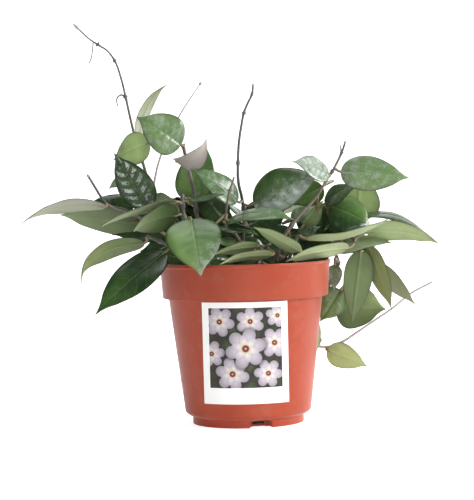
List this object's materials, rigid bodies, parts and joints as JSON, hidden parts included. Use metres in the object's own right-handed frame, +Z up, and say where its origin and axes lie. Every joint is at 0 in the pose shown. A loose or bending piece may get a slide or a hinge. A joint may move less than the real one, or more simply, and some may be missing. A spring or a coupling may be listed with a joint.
{
  "type": "potted hoya plant",
  "caption": "Young hoya with thick pointed leaves on thin upright, leaning and trailing vines, rooted in soil in a tapered nursery pot with a banded rim, drain notches and a picture card.",
  "frame": {"origin": "centre of the pot's underside, on the surface that the pot stands on", "axes": "+Z up along the pot's axis, -Y the front, where the card is, and +X to the right as seen from the front"},
  "size_m": [0.2834, 0.1386, 0.2834],
  "materials": {
    "terracotta_plastic": "satin",
    "potting_soil": "matte",
    "printed_card": "satin",
    "stem": "satin",
    "leaf_dark": "gloss",
    "leaf_fresh": "satin",
    "leaf_flecked": "gloss",
    "leaf_pale": "satin"
  },
  "bodies": {
    "root": {"pot": "terracotta_plastic", "soil": "potting_soil", "label": "printed_card", "tall_left_vine": "stem", "tall_left_leaf_1": "leaf_fresh", "tall_left_leaf_2": "leaf_pale", "upright_vine": "stem", "upright_leaf_1": "leaf_fresh", "upright_leaf_2": "leaf_flecked", "upright_leaf_3": "leaf_pale", "tall_centre_vine": "stem", "tall_centre_leaf_1": "leaf_flecked", "tall_centre_leaf_2": "leaf_dark", "tall_centre_leaf_3": "leaf_flecked", "right_vine": "stem", "right_leaf_1": "leaf_flecked", "right_leaf_2": "leaf_flecked", "left_vine": "stem", "left_leaf_1": "leaf_pale", "left_leaf_2": "leaf_fresh", "left_leaf_3": "leaf_dark", "knotty_vine": "stem", "knotty_leaf_1": "leaf_pale", "knotty_leaf_2": "leaf_fresh", "knotty_leaf_3": "leaf_flecked", "knotty_leaf_4": "leaf_dark", "knotty_leaf_5": "leaf_fresh", "low_left_vine": "stem", "low_left_leaf_1": "leaf_fresh", "low_left_leaf_2": "leaf_dark", "front_vine": "stem", "front_leaf_1": "leaf_pale", "front_leaf_2": "leaf_pale", "front_right_vine": "stem", "front_right_leaf_1": "leaf_pale", "front_right_leaf_2": "leaf_pale", "back_right_vine": "stem", "back_right_leaf_1": "leaf_dark", "back_right_leaf_2": "leaf_fresh", "back_right_leaf_3": "leaf_fresh", "back_right_leaf_4": "leaf_pale", "back_right_leaf_5": "leaf_pale", "back_right_leaf_6": "leaf_dark", "back_right_leaf_7": "leaf_dark", "back_right_leaf_8": "leaf_pale", "back_right_leaf_9": "leaf_fresh", "back_right_leaf_10": "leaf_fresh", "trailing_vine": "stem", "trailing_leaf_1": "leaf_pale", "trailing_leaf_2": "leaf_fresh", "back_left_vine": "stem", "back_left_leaf_1": "leaf_dark", "back_left_leaf_2": "leaf_dark", "back_left_leaf_3": "leaf_fresh", "back_vine": "stem", "back_leaf_1": "leaf_dark", "back_leaf_2": "leaf_fresh", "back_leaf_3": "leaf_dark", "back_leaf_4": "leaf_dark", "back_leaf_5": "leaf_fresh"}
  },
  "joints": []
}
